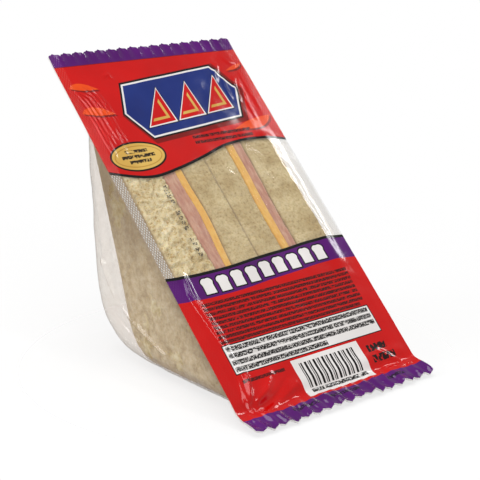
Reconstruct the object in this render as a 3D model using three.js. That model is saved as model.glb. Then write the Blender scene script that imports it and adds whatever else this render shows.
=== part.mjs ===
// A sandwich wedge pack: two triangular half sandwiches, side by side, sealed in film.
// A clear film pocket is formed to the wedge, and a flat printed film closes its slanting mouth.
// The pack stands on the pocket's base, with its cut faces behind the printed film.
// Millimetres, +Z up, X across the pack, and the printed film faces -Y and up.
import * as THREE from "three";

// Overall sizes of the wedge, over the outside of the pocket
const packWidth = 90;
const backHeight = 107.3;
const baseDepth = 107.3;

// The two films, and the room that is left between pieces that touch
const pocketFilm = 0.4;
const liddingFilm = 0.25;
const sealGap = 0.3;
const foodGap = 0.3;

// The pocket: how far its walls stand in from the film's edges, and how they are rounded
const sideSeal = 4.5;
const topLip = 4.5;
const footLip = 9.2;
const lipRun = 2;
const wallDraft = 3;
const sideRadius = 12;
const apexRadius = 36;
const lipRadius = 4;

// The film beyond the wedge, cut in teeth at both ends, with its foot bent out over the table
const headMargin = 8.5;
const headStrip = 7;
const footStrip = 8.5;
const creaseGap = 0.5;
const creaseRadius = 10;
const footClearance = 0.5;
const toothPitch = 5.3;
const toothDepth = 2;

// The slices as cut, from the pack's left to its right. The soft bread gives to fill the pocket.
const outerBreadLeft = 18.2;
const hamLeft = 5.3;
const cheeseLeft = 3.3;
const innerBreadLeft = 12.1;
const innerBreadRight = 13.7;
const cheeseRight = 3.1;
const hamRight = 4.3;
const outerBreadRight = 15.4;
const airBeside = 2.1;

// The outline of a half slice: its cut face lies on the mouth, and its crust stands off the back
const cutTopGap = 3;
const cutFootGap = 1;
const shoulderGap = 2.8;
const shoulderDrop = 16;
const shoulderRadius = 6;
const heelGap = 25;
const heelRadius = 20;
const toeRun = 2;
const toeRadius = 4;
const crustRound = 2;
const hamInset = 1;
const cheeseInset = 2.5;
const cheeseHeelRadius = 6;
const fillingRound = 0.6;

// The print, measured on the film. Widths run across the pack, and the rest run down the film.
const lineWidth = 0.8;
const edgeWidth = 1.2;
const knurlWidth = 4.3;
const headerLength = 50;
const bandAboveFoot = 59.4;
const bandHeight = 10;
const iconWidth = 5.4;
const iconHeight = 7.2;
const iconPitch = 7.2;
const iconCount = 9;
const bannerLength = 58;
const bannerHeight = 25;
const bannerDown = 22.5;
const bannerOffset = 5;
const bannerTilt = -5;
const bannerPoint = 6;
const wedgeGap = 2.4;
const wedgeMargin = 4.5;
const sealLength = 24;
const sealHeight = 12;
const sealRise = 5.2;
const sealRim = 1.5;
const rayLength = 12;
const rayWidth = 5;
const leftRays = [8, 20];
const rightRays = [34];
const noteLength = 30;
const noteHeight = 1.4;
const notePitch = 2.6;
const noteRise = 10.5;
const stampOffset = -24.7;
const stampWidth = 1.5;
const stampLength = 9;
const stampPitch = 12;
const stampDown = 9;
const stampGroups = 3;
const infoMargin = 8;
const textGap = 2.6;
const textLines = 9;
const boxTop = 29.4;
const boxHeight = 12;
const boxLine = 0.5;
const boxLines = 4;
const barcodeTop = 16.6;
const barcodeWidth = 34;
const barcodeOffset = 5;
const barcodeMargin = 5;
const barInset = 1.8;
const barUnit = 0.5;
const weightHeight = 3;
const weightPitch = 4.6;
const weightGap = 3;

const inks = {
  clear: ["#dcd6cf", 0.3],
  knurl: ["#e4e2de", 0.7],
  purple: ["#4e1a66", 1],
  red: ["#c3201d", 1],
  darkRed: ["#861512", 1],
  orange: ["#e0521c", 1],
  blue: ["#1f3578", 1],
  gold: ["#d9b765", 1],
  goldRim: ["#a77a2e", 1],
  white: ["#e6e4e2", 1],
  grey: ["#55504e", 1],
  black: ["#141014", 1],
};

const degree = Math.PI / 180;
const halfWidth = packWidth / 2;

// The slanting mouth. "down" runs along the printed film from the head strip's inner edge, and
// "depth" runs from the film's front into the pack.
const mouthAngle = Math.atan2(backHeight, baseDepth);
const mouthLength = Math.hypot(backHeight, baseDepth);
const footCorner = headMargin + mouthLength;
const flangeFront = liddingFilm + sealGap;
const flangeBack = flangeFront + pocketFilm;

function onMouth(down, depth) {
  const along = down - headMargin;
  return {
    y: -along * Math.cos(mouthAngle) + depth * Math.sin(mouthAngle),
    z: backHeight - along * Math.sin(mouthAngle) - depth * Math.cos(mouthAngle),
  };
}

// A place in the plane of the pack's side, given from the back wall and the table
function fromBack(back, height) {
  const drop = backHeight - height;
  return new THREE.Vector2(
    headMargin + back * Math.cos(mouthAngle) + drop * Math.sin(mouthAngle),
    -back * Math.sin(mouthAngle) + drop * Math.cos(mouthAngle),
  );
}

// The film's foot turns on an arc, from the mouth's slope to one that just clears the table
const creaseDown = footCorner - footLip + creaseGap;
const creasePlace = onMouth(creaseDown, 0);
const footDrop =
  creasePlace.z - flangeBack - footClearance + creaseRadius * Math.cos(mouthAngle);
const footReach = Math.hypot(footStrip, creaseRadius);
const footSlope = Math.min(
  mouthAngle,
  Math.atan2(footStrip, creaseRadius) - Math.acos(Math.min(1, footDrop / footReach)),
);
const creaseLength = creaseRadius * (mouthAngle - footSlope);
const footEdge = creaseDown + creaseLength;

function onFilm(x, down, depth) {
  if (down <= creaseDown) {
    const flat = onMouth(down, depth);
    return new THREE.Vector3(x, flat.y, flat.z);
  }
  const slope = mouthAngle - Math.min(down - creaseDown, creaseLength) / creaseRadius;
  const beyond = Math.max(0, down - footEdge);
  const arcOut = creaseRadius * (Math.sin(mouthAngle) - Math.sin(slope));
  const arcDrop = creaseRadius * (Math.cos(slope) - Math.cos(mouthAngle));
  return new THREE.Vector3(
    x,
    creasePlace.y - arcOut - beyond * Math.cos(slope) + depth * Math.sin(slope),
    creasePlace.z - arcDrop - beyond * Math.sin(slope) - depth * Math.cos(slope),
  );
}

// What lies in the pocket narrows with depth, as the side walls do
const narrowing = Math.tan(wallDraft * degree) / (halfWidth - sideSeal);

function inPocket(x, down, depth) {
  const place = onMouth(down, depth);
  return new THREE.Vector3(x * (1 - narrowing * depth), place.y, place.z);
}

// How far a wall's meeting with the mouth moves along the mouth, when the wall moves in by "inset"
function headShift(inset) {
  return inset / Math.cos(mouthAngle);
}

function footShift(inset) {
  return -inset / Math.sin(mouthAngle);
}

// The outline of a wedge in the plane of the pack's side, from its corners. A corner with a
// radius is rounded, as far as the edges beside it leave room.
function roundedOutline(corners, steps = 8) {
  const points = [];
  corners.forEach(({ at, radius }, i) => {
    if (radius === undefined) {
      points.push(at);
      return;
    }
    const before = at.clone().sub(corners[(i + corners.length - 1) % corners.length].at);
    const after = corners[(i + 1) % corners.length].at.clone().sub(at);
    const room = 0.45 * Math.min(before.length(), after.length());
    const turn = Math.atan2(before.cross(after), before.dot(after));
    const tangent = Math.min(radius * Math.tan(turn / 2), room);
    const from = at.clone().addScaledVector(before.normalize(), -tangent);
    const inward = new THREE.Vector2(-before.y, before.x);
    const centre = from.clone().addScaledVector(inward, tangent / Math.tan(turn / 2));
    for (let k = 0; k <= steps; k++) {
      points.push(from.clone().rotateAround(centre, (turn * k) / steps));
    }
  });
  return points;
}

// The layers of a solid across the pack, with its two outer edges rounded
function roundedLayers(left, right, leftRound, rightRound, inset, steps) {
  const layers = [];
  for (let k = 0; k <= steps; k++) {
    const angle = (k / steps) * 90 * degree;
    layers.push({
      x: left + leftRound * (1 - Math.cos(angle)),
      inset: inset + leftRound * (1 - Math.sin(angle)),
    });
  }
  for (let k = steps; k >= 0; k--) {
    const angle = (k / steps) * 90 * degree;
    layers.push({
      x: right - rightRound * (1 - Math.cos(angle)),
      inset: inset + rightRound * (1 - Math.sin(angle)),
    });
  }
  return layers;
}

function addTriangle(positions, a, b, c, inwards) {
  for (const point of inwards ? [a, c, b] : [a, b, c]) {
    positions.push(point.x, point.y, point.z);
  }
}

function addQuad(positions, a, b, c, d, inwards) {
  addTriangle(positions, a, b, c, inwards);
  addTriangle(positions, a, c, d, inwards);
}

// Flat triangles of an outline with holes, all turning the same way
function trianglesOf(outline, holes = []) {
  const points = [outline, ...holes].flat();
  return THREE.ShapeUtils.triangulateShape(outline, holes).map((face) => {
    const [a, b, c] = face.map((i) => points[i]);
    const turn = b.clone().sub(a).cross(c.clone().sub(a));
    return turn > 0 ? [a, b, c] : [a, c, b];
  });
}

// The skin of a wedge from layer to layer, with its two side faces. "cornersAt" gives a layer's
// corners, the first two of them on the mouth. An open skin leaves out the face between those.
function addWedgeSkin(positions, cornersAt, layers, open, inwards) {
  const outlines = layers.map((layer) => roundedOutline(cornersAt(layer.inset)));
  const rings = outlines.map((outline, i) =>
    outline.map((point) => inPocket(layers[i].x, point.x, point.y)),
  );
  const count = rings[0].length;
  for (let i = 0; i + 1 < rings.length; i++) {
    for (let k = open ? 1 : 0; k < count; k++) {
      const next = (k + 1) % count;
      addQuad(positions, rings[i][k], rings[i][next], rings[i + 1][next], rings[i + 1][k], inwards);
    }
  }
  const last = layers.length - 1;
  for (const [i, turned] of [[0, !inwards], [last, inwards]]) {
    for (const face of trianglesOf(outlines[i])) {
      const [a, b, c] = face.map((point) => inPocket(layers[i].x, point.x, point.y));
      addTriangle(positions, a, b, c, turned);
    }
  }
  return outlines;
}

function meshOf(name, positions, material, colours) {
  const geometry = new THREE.BufferGeometry();
  geometry.setAttribute("position", new THREE.Float32BufferAttribute(positions, 3));
  if (colours) {
    geometry.setAttribute("color", new THREE.Float32BufferAttribute(colours, 4));
  }
  geometry.computeVertexNormals();
  const mesh = new THREE.Mesh(geometry, material);
  mesh.name = name;
  return mesh;
}

// One end of the film, cut in teeth. "out" is how far the teeth's tips reach past "edge".
function toothedRow(edge, out) {
  const teeth = Math.max(1, Math.round(packWidth / toothPitch));
  const row = [];
  for (let k = 0; k <= 2 * teeth; k++) {
    const cut = k % 2 === 0 ? 0 : Math.sign(out) * toothDepth;
    row.push(new THREE.Vector2(-halfWidth + (k * packWidth) / (2 * teeth), edge + out - cut));
  }
  return row;
}

const creaseSteps = 4;
const panelSteps = 3;
const creaseRows = [];
for (let k = 0; k <= creaseSteps; k++) {
  creaseRows.push(creaseDown + (creaseLength * k) / creaseSteps);
}

function straightRow(down, stations) {
  return stations.map((x) => new THREE.Vector2(x, down));
}

function between(above, below) {
  return [...above, ...below.toReversed()];
}

// The faces and the rim of a film that is made of flat fields: each has an ink, an outline and
// the holes that other fields fill
function addFilmFace(positions, colours, fields, depth, inwards) {
  for (const { ink, outline, holes } of fields) {
    const [hex, alpha] = inks[ink];
    const colour = new THREE.Color(hex);
    for (const face of trianglesOf(outline, holes)) {
      const [a, b, c] = face.map((point) => onFilm(point.x, point.y, depth));
      addTriangle(positions, a, b, c, inwards);
      for (let i = 0; i < 3; i++) {
        colours.push(colour.r, colour.g, colour.b, alpha);
      }
    }
  }
}

function addFilmRim(positions, colours, fields, front, back) {
  const key = (point) => `${point.x.toFixed(4)} ${point.y.toFixed(4)}`;
  const open = new Map();
  for (const { outline, holes } of fields) {
    for (const face of trianglesOf(outline, holes)) {
      face.forEach((from, i) => {
        const to = face[(i + 1) % 3];
        if (!open.delete(`${key(to)} ${key(from)}`)) {
          open.set(`${key(from)} ${key(to)}`, [from, to]);
        }
      });
    }
  }
  for (const [from, to] of open.values()) {
    const [a, b] = [from, to].map((point) => onFilm(point.x, point.y, front));
    const [c, d] = [to, from].map((point) => onFilm(point.x, point.y, back));
    addQuad(positions, a, b, c, d, false);
    for (let i = 0; i < 6; i++) {
      colours.push(1, 1, 1, 1);
    }
  }
}

// The formed pocket: one clear film with a deep wedge in it and a flat flange all round

function pocketCorners(inset, mouthDepth) {
  const head = headMargin + headShift(inset);
  const foot = footCorner + footShift(inset);
  const headLipDepth = (topLip + lipRun) / Math.tan(mouthAngle);
  const footLipDepth = (footLip + lipRun) * Math.tan(mouthAngle);
  return [
    { at: new THREE.Vector2(head + topLip, mouthDepth) },
    { at: new THREE.Vector2(foot - footLip, mouthDepth) },
    { at: new THREE.Vector2(foot - footLip - lipRun, footLipDepth), radius: lipRadius },
    { at: fromBack(inset, inset), radius: apexRadius - inset },
    { at: new THREE.Vector2(head + topLip + lipRun, headLipDepth), radius: lipRadius },
  ];
}

const wall = halfWidth - sideSeal;

function mouthLoop(outlines, layers, depth) {
  const narrowed = (i) => layers[i].x * (1 - narrowing * depth);
  const heads = outlines.map((outline, i) => new THREE.Vector2(narrowed(i), outline[0].x));
  const feet = outlines.map((outline, i) => new THREE.Vector2(narrowed(i), outline[1].x));
  return [...heads, ...feet.toReversed()];
}

function flangeFields(loop) {
  const ends = [-halfWidth, halfWidth];
  const head = between(toothedRow(0, -headStrip), straightRow(creaseDown, ends));
  const fields = [{ ink: "clear", outline: head, holes: loop ? [loop] : [] }];
  for (let k = 0; k < creaseSteps; k++) {
    const outline = between(straightRow(creaseRows[k], ends), straightRow(creaseRows[k + 1], ends));
    fields.push({ ink: "clear", outline, holes: [] });
  }
  const foot = between(straightRow(footEdge, ends), toothedRow(footEdge, footStrip));
  fields.push({ ink: "clear", outline: foot, holes: [] });
  return fields;
}

function formedPocket() {
  const positions = [];
  const colours = [];
  const roundSteps = 6;
  const outer = roundedLayers(-wall, wall, sideRadius, sideRadius, 0, roundSteps);
  const innerWall = wall - pocketFilm;
  const innerRound = sideRadius - pocketFilm;
  const inner = roundedLayers(-innerWall, innerWall, innerRound, innerRound, pocketFilm, roundSteps);
  const outerCorners = (inset) => pocketCorners(inset, flangeBack);
  const innerCorners = (inset) => pocketCorners(inset, flangeFront);
  const outerSkin = addWedgeSkin(positions, outerCorners, outer, true, false);
  const innerSkin = addWedgeSkin(positions, innerCorners, inner, true, true);
  const outerLoop = mouthLoop(outerSkin, outer, flangeBack);
  const innerLoop = mouthLoop(innerSkin, inner, flangeFront);
  addFilmFace(positions, colours, flangeFields(innerLoop), flangeFront, true);
  addFilmFace(positions, colours, flangeFields(outerLoop), flangeBack, false);
  addFilmRim(positions, colours, flangeFields(null), flangeFront, flangeBack);
  const material = new THREE.MeshStandardMaterial({
    color: inks.clear[0],
    roughness: 0.15,
    metalness: 0,
    transparent: true,
    opacity: inks.clear[1],
  });
  return meshOf("formed_pocket", positions, material);
}

// The two half sandwiches: bread, ham, cheese and bread, with the second turned about

const foodFace = liddingFilm + foodGap;
const foodFloor = pocketFilm + foodGap;

function sliceCorners(inset, heel) {
  const head = headMargin + topLip + pocketFilm + cutTopGap + headShift(inset);
  const foot = footCorner - footLip - pocketFilm - cutFootGap + footShift(inset);
  const toeHeight = foodFloor + inset;
  const toeAlong = foot - toeRun - headMargin;
  const toeDepth =
    (backHeight - toeHeight - toeAlong * Math.sin(mouthAngle)) / Math.cos(mouthAngle);
  const shoulder = fromBack(pocketFilm + shoulderGap, backHeight - shoulderDrop);
  return [
    { at: new THREE.Vector2(head, foodFace) },
    { at: new THREE.Vector2(foot, foodFace) },
    { at: new THREE.Vector2(foot - toeRun, toeDepth), radius: toeRadius },
    { at: fromBack(pocketFilm + heelGap + inset, toeHeight), radius: Math.max(heel - inset, 1) },
    { at: shoulder.add(new THREE.Vector2(headShift(inset), 0)), radius: shoulderRadius },
  ];
}

const pocketInside = 2 * (wall - pocketFilm);
const breadAsCut = outerBreadLeft + innerBreadLeft + innerBreadRight + outerBreadRight;
const fillings = hamLeft + cheeseLeft + cheeseRight + hamRight;
const sliceCount = 8;
const breadRoom = pocketInside - airBeside - fillings - sliceCount * foodGap;
const breadSquash = breadRoom / breadAsCut;
const outerRound = sideRadius - pocketFilm - foodGap;

const breadMaterial = new THREE.MeshStandardMaterial({ color: "#d8c79a", roughness: 0.95 });
const hamMaterial = new THREE.MeshStandardMaterial({ color: "#b97f6e", roughness: 0.5 });
const cheeseMaterial = new THREE.MeshStandardMaterial({ color: "#e8b84e", roughness: 0.45 });

const bread = (name, cut, leftRound, rightRound) => ({
  name,
  thickness: cut * breadSquash,
  leftRound,
  rightRound,
  inset: 0,
  heel: heelRadius,
  material: breadMaterial,
});
const filling = (name, thickness, inset, heel, material) => ({
  name,
  thickness,
  leftRound: fillingRound,
  rightRound: fillingRound,
  inset,
  heel,
  material,
});

const layersAcross = [
  bread("bread_outer_left", outerBreadLeft, outerRound, crustRound),
  filling("ham_left", hamLeft, hamInset, heelRadius, hamMaterial),
  filling("cheese_left", cheeseLeft, cheeseInset, cheeseHeelRadius, cheeseMaterial),
  bread("bread_inner_left", innerBreadLeft, crustRound, crustRound),
  bread("bread_inner_right", innerBreadRight, crustRound, crustRound),
  filling("cheese_right", cheeseRight, cheeseInset, cheeseHeelRadius, cheeseMaterial),
  filling("ham_right", hamRight, hamInset, heelRadius, hamMaterial),
  bread("bread_outer_right", outerBreadRight, crustRound, outerRound),
];

function halfSlices() {
  const slices = [];
  let left = -pocketInside / 2 + foodGap;
  for (const slice of layersAcross) {
    const right = left + slice.thickness;
    const positions = [];
    const layers = roundedLayers(left, right, slice.leftRound, slice.rightRound, slice.inset, 4);
    const cornersAt = (inset) => sliceCorners(inset, slice.heel);
    addWedgeSkin(positions, cornersAt, layers, false, false);
    slices.push(meshOf(slice.name, positions, slice.material));
    left = right + foodGap;
  }
  return slices;
}

// The lidding film, printed with fields of colour. The window and the seals are left clear.

function ellipse(cx, cy, length, height, steps) {
  const points = [];
  for (let k = 0; k < steps; k++) {
    const angle = (k / steps) * 360 * degree;
    points.push(
      new THREE.Vector2(cx + (length / 2) * Math.cos(angle), cy + (height / 2) * Math.sin(angle)),
    );
  }
  return points;
}

function rectangle(left, right, top, foot) {
  return [[left, top], [right, top], [right, foot], [left, foot]].map(
    ([x, y]) => new THREE.Vector2(x, y),
  );
}

// A bread slice seen from the front, with its two round shoulders
function breadIcon(cx, cy, width, height) {
  const half = width / 2;
  const waist = half * 0.82;
  const shoulder = cy - height / 2 + half * 0.7;
  const points = [[-waist, height / 2], [-waist, half * 0.2], [-half, -height / 2 + half]];
  const turned = points.map(([x, y]) => new THREE.Vector2(cx + x, cy + y));
  for (let k = 1; k < 6; k++) {
    const angle = (180 - k * 30) * degree;
    turned.push(
      new THREE.Vector2(cx + half * Math.cos(angle), shoulder - half * 0.7 * Math.sin(angle)),
    );
  }
  for (const [x, y] of points.toReversed()) {
    turned.push(new THREE.Vector2(cx - x, cy + y));
  }
  return turned;
}

// Moves an outline's points out from its middle by a line's width
function widened(outline, by) {
  const middle = outline
    .reduce((sum, point) => sum.add(point), new THREE.Vector2())
    .divideScalar(outline.length);
  return outline.map((point) => {
    const out = point.clone().sub(middle);
    return middle.clone().addScaledVector(out, 1 + by / out.length());
  });
}

// Shapes inside one another, each with its ink, from the widest to the smallest
function nested(shapes) {
  return shapes.map(([ink, outline, inside = []], i) => {
    const next = shapes[i + 1];
    return { ink, outline, holes: [...(next ? [next[1]] : []), ...inside] };
  });
}

function printedFields() {
  const fields = [];
  const motif = (shapes) => {
    fields.push(...nested(shapes));
    return shapes[0][1];
  };
  const plain = (ink, outline) => motif([[ink, outline]]);

  // The curved edges of the fields run through nine stations across the film
  const inner = halfWidth - knurlWidth;
  const stations = [-halfWidth, -inner];
  for (let k = 1; k < 6; k++) {
    stations.push(inner * (k / 3 - 1));
  }
  stations.push(inner, halfWidth);
  const curvedRow = (down, rises) =>
    stations.map((x, i) => new THREE.Vector2(x, down + rises[i]));
  const riseAt = (rises, x) => {
    const i = stations.findIndex((station) => station > x);
    const share = (x - stations[i - 1]) / (stations[i] - stations[i - 1]);
    return THREE.MathUtils.lerp(rises[i - 1], rises[i], share);
  };
  const headerRises = [0, 1.4, 4.5, 2.8, -0.4, -4.1, -5.1, -3.4, -2.2];
  const bandRises = [0, 0.4, 0.9, 0.7, -0.3, -0.9, -1.8, -1.4, -0.9];
  const bandTop = footEdge - bandAboveFoot;

  const headEdge = straightRow(0, [-halfWidth, halfWidth]);
  const headerFoot = curvedRow(headerLength - edgeWidth / 2, headerRises);
  const windowTop = curvedRow(headerLength + edgeWidth / 2, headerRises);
  const windowFoot = curvedRow(bandTop - edgeWidth / 2, bandRises);
  const bandHead = curvedRow(bandTop + edgeWidth / 2, bandRises);
  const bandFoot = curvedRow(bandTop + bandHeight, bandRises);

  plain("purple", between(toothedRow(0, -headStrip), headEdge));

  // The header: a banner with three wedges on it, a plain gold seal, rays and lines of small print
  const onBanner = ([x, y]) =>
    new THREE.Vector2(x, y)
      .rotateAround(new THREE.Vector2(), bannerTilt * degree)
      .add(new THREE.Vector2(bannerOffset, bannerDown));
  const long = bannerLength / 2;
  const short = long - bannerPoint;
  const high = bannerHeight / 2;
  const hexagon = [[-long, 0], [-short, -high], [short, -high], [long, 0], [short, high], [-short, high]];
  const banner = hexagon.map(onBanner);
  const wedgeWidth = (2 * short - 2 * wedgeGap - 2 * lineWidth) / 3;
  const wedgeHeight = bannerHeight - 2 * wedgeMargin;
  const wedges = [-1, 0, 1].map((i) => {
    const middle = i * (wedgeWidth + wedgeGap);
    const ends = [middle - wedgeWidth / 2, middle + wedgeWidth / 2];
    const foot = wedgeHeight / 2;
    const outline = [[ends[0], foot], [ends[1], foot], [ends[1], -foot]].map(onBanner);
    return motif([["white", widened(outline, lineWidth)], ["red", widened(outline, -lineWidth)]]);
  });
  const header = [
    motif([
      ["black", widened(banner, 2 * lineWidth)],
      ["white", widened(banner, lineWidth)],
      ["blue", banner, wedges],
    ]),
  ];
  const seal = (wider) =>
    ellipse(
      -halfWidth + knurlWidth + sealLength / 2,
      headerLength - sealRise,
      sealLength + 2 * wider,
      sealHeight + 2 * wider,
      28,
    );
  header.push(
    motif([
      ["black", seal(lineWidth)],
      ["gold", seal(0)],
      ["goldRim", seal(-sealRim)],
      ["gold", seal(-sealRim - lineWidth / 2)],
    ]),
  );
  for (const [side, downs] of [[-1, leftRays], [1, rightRays]]) {
    const tip = side * (halfWidth - knurlWidth / 2);
    const root = tip - side * rayLength;
    for (const top of downs) {
      const foot = top + rayWidth;
      const ray = [[tip, top], [tip, foot], [root, foot - lineWidth], [root, foot - 3 * lineWidth]];
      header.push(plain("orange", ray.map(([x, y]) => new THREE.Vector2(x, y))));
    }
  }
  for (const line of [0, 1]) {
    const top = headerLength - noteRise + notePitch * line;
    header.push(plain("darkRed", rectangle(0, noteLength, top, top + noteHeight)));
  }
  fields.push({ ink: "red", outline: between(headEdge, headerFoot), holes: header });
  plain("black", between(headerFoot, windowTop));

  // The window, with the knurled seals on both sides of it and the strokes of a date stamp
  const strokes = [];
  for (let k = 0; k < stampGroups; k++) {
    const top = headerLength + stampDown + stampPitch * k;
    const ends = [stampOffset - stampWidth / 2, stampOffset + stampWidth / 2];
    strokes.push(plain("grey", rectangle(...ends, top, top + stampLength)));
  }
  const last = stations.length - 1;
  const part = (row, from, to) => row.slice(from, to + 1);
  plain("knurl", between(part(windowTop, 0, 1), part(windowFoot, 0, 1)));
  fields.push({
    ink: "clear",
    outline: between(part(windowTop, 1, last - 1), part(windowFoot, 1, last - 1)),
    holes: strokes,
  });
  plain("knurl", between(part(windowTop, last - 1, last), part(windowFoot, last - 1, last)));
  plain("black", between(windowFoot, bandHead));

  // The band, with a row of bread slices on it
  const icons = [];
  for (let k = 0; k < iconCount; k++) {
    const cx = (k - (iconCount - 1) / 2) * iconPitch;
    const hop = 0.25 * Math.sin(2.4 * k);
    const cy = bandTop + bandHeight / 2 + riseAt(bandRises, cx) + hop;
    const icon = breadIcon(cx, cy, iconWidth, iconHeight);
    icons.push(motif([["black", widened(icon, lineWidth / 2)], ["white", icon]]));
  }
  fields.push({ ink: "purple", outline: between(bandHead, bandFoot), holes: icons });

  // How far a printed line or bar falls short of its neighbours
  const ragged = (k) => 0.25 * (1 + Math.sin(2.6 * k + 1));

  // The block of small print: dark lines, a white box of lines, and a panel of plain bars
  const barLeft = barcodeOffset - barcodeWidth / 2;
  const barRight = barcodeOffset + barcodeWidth / 2;
  const cuts = [-halfWidth, barLeft, barRight, halfWidth];
  const barcodeRow = straightRow(footEdge - barcodeTop, cuts);
  const left = -halfWidth + infoMargin;
  const right = halfWidth - infoMargin;
  const info = [];
  const box = footEdge - boxTop;
  const textTop = bandTop + bandHeight + textGap;
  const textPitch = (box - textTop) / textLines;
  for (let line = 0; line < textLines; line++) {
    const top = textTop + textPitch * line;
    const ends = [left + ragged(line), right - 4 * ragged(line + 1)];
    info.push(plain("darkRed", rectangle(...ends, top, top + 0.6 * textPitch)));
  }
  const boxText = [];
  const boxPitch = (boxHeight - 2 * boxLine) / boxLines;
  for (let line = 0; line < boxLines; line++) {
    const top = box + boxLine + boxPitch * (line + 0.2);
    const start = left + 2 * boxLine + ragged(line);
    const end = right - 2 * boxLine - 4 * ragged(line + 2);
    boxText.push(plain("grey", rectangle(start, end, top, top + 0.6 * boxPitch)));
  }
  const boxInside = rectangle(left + boxLine, right - boxLine, box + boxLine, box + boxHeight - boxLine);
  info.push(
    motif([
      ["black", rectangle(left, right, box, box + boxHeight)],
      ["white", boxInside, boxText],
    ]),
  );
  fields.push({ ink: "red", outline: between(bandFoot, barcodeRow), holes: info });

  // Bars of three widths, their ends a little uneven as printed
  const bars = [];
  const barsTop = footEdge - barcodeTop + barInset;
  const barsFoot = creaseDown - barInset;
  let barX = barLeft + barcodeMargin;
  for (let k = 0; barX < barRight - barcodeMargin; k++) {
    const width = barUnit * (1 + ((7 * k) % 3));
    const bar = rectangle(barX, barX + width, barsTop + ragged(k), barsFoot - ragged(k + 5));
    bars.push(plain("black", bar));
    barX += width + barUnit * (1 + ((5 * k) % 3));
  }
  const weight = [0, 1].map((line) => {
    const top = footEdge - barcodeTop + weightGap + weightPitch * line;
    return plain("darkRed", rectangle(barRight + weightGap, right - line, top, top + weightHeight));
  });
  let above = barcodeRow;
  for (const [k, down] of creaseRows.entries()) {
    const below = straightRow(down, cuts);
    const panelInk = k < panelSteps ? "white" : "red";
    const within = [[], k === 0 ? bars : [], k === 0 ? weight : []];
    [0, 1, 2].forEach((i) => {
      const outline = between(part(above, i, i + 1), part(below, i, i + 1));
      fields.push({ ink: i === 1 ? panelInk : "red", outline, holes: within[i] });
    });
    above = below;
  }
  plain("purple", between(above, toothedRow(footEdge, footStrip)));
  return fields;
}

function liddingSheet() {
  const positions = [];
  const colours = [];
  const fields = printedFields();
  addFilmFace(positions, colours, fields, 0, true);
  addFilmFace(positions, colours, fields, liddingFilm, false);
  addFilmRim(positions, colours, fields, 0, liddingFilm);
  const material = new THREE.MeshStandardMaterial({
    color: "#ffffff",
    roughness: 0.25,
    metalness: 0,
    transparent: true,
    vertexColors: true,
  });
  return meshOf("lidding_film", positions, material, colours);
}

// The whole pack, with its origin on the table under the middle of its box
const pack = new THREE.Group();
pack.add(formedPocket(), ...halfSlices(), liddingSheet());
const reach = new THREE.Box3().setFromObject(pack);
const middle = reach.getCenter(new THREE.Vector3());
pack.position.set(-middle.x, -middle.y, -reach.min.z);

export default pack;
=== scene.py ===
import math

import bpy
import numpy as np
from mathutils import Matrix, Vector, noise
from mathutils.geometry import delaunay_2d_cdt


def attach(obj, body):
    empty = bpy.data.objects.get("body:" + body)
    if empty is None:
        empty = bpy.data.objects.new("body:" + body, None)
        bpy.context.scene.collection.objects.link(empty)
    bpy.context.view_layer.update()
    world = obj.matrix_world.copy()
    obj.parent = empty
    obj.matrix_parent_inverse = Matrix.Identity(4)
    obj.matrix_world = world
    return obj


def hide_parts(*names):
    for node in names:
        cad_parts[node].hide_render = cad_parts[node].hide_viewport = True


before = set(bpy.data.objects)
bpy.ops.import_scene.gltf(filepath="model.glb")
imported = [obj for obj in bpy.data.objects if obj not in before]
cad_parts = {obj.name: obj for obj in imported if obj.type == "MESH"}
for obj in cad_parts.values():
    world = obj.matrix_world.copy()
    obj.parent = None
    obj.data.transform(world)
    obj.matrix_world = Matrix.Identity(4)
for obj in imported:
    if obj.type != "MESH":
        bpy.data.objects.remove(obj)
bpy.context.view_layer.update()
scene = bpy.context.scene

# The camera
# A long lens stands a little above the pack and to its left, as the photograph's perspective
# gives it: about half a metre away, looking down at 15 degrees.
camera_data = bpy.data.cameras.new("camera")
camera_data.sensor_width = 36.0
camera_data.lens = 97.06
camera = bpy.data.objects.new("camera", camera_data)
camera.location = (-0.3125, -0.3661, 0.1818)
camera.rotation_euler = Vector((0.6259, 0.7331, -0.2662)).to_track_quat("-Z", "Y").to_euler()
scene.collection.objects.link(camera)
scene.camera = camera
scene.view_settings.view_transform = "Standard"


# The studio
# A white sweep under soft boxes. The light is even, a little stronger from above and from the
# left, and two narrow boxes give the film its bright lines.
def node(tree, kind, settings, inputs):
    """Adds a node, sets it up, and gives each input a value or a link."""
    made = tree.nodes.new(kind)
    for name, value in settings.items():
        if name == "stops":
            ramp = made.color_ramp
            while len(ramp.elements) < len(value):
                ramp.elements.new(0.5)
            for element, (position, colour) in zip(ramp.elements, value):
                element.position = position
                element.color = colour
        else:
            setattr(made, name, value)
    for key, value in inputs.items():
        socket = made.inputs[key]
        if isinstance(value, bpy.types.NodeSocket):
            tree.links.new(value, socket)
        else:
            socket.default_value = value
    return made


def grey(level):
    return (level, level, level, 1.0)


def new_material(name):
    material = bpy.data.materials.new(name)
    material.use_nodes = True
    material.node_tree.nodes.clear()
    return material, material.node_tree


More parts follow.
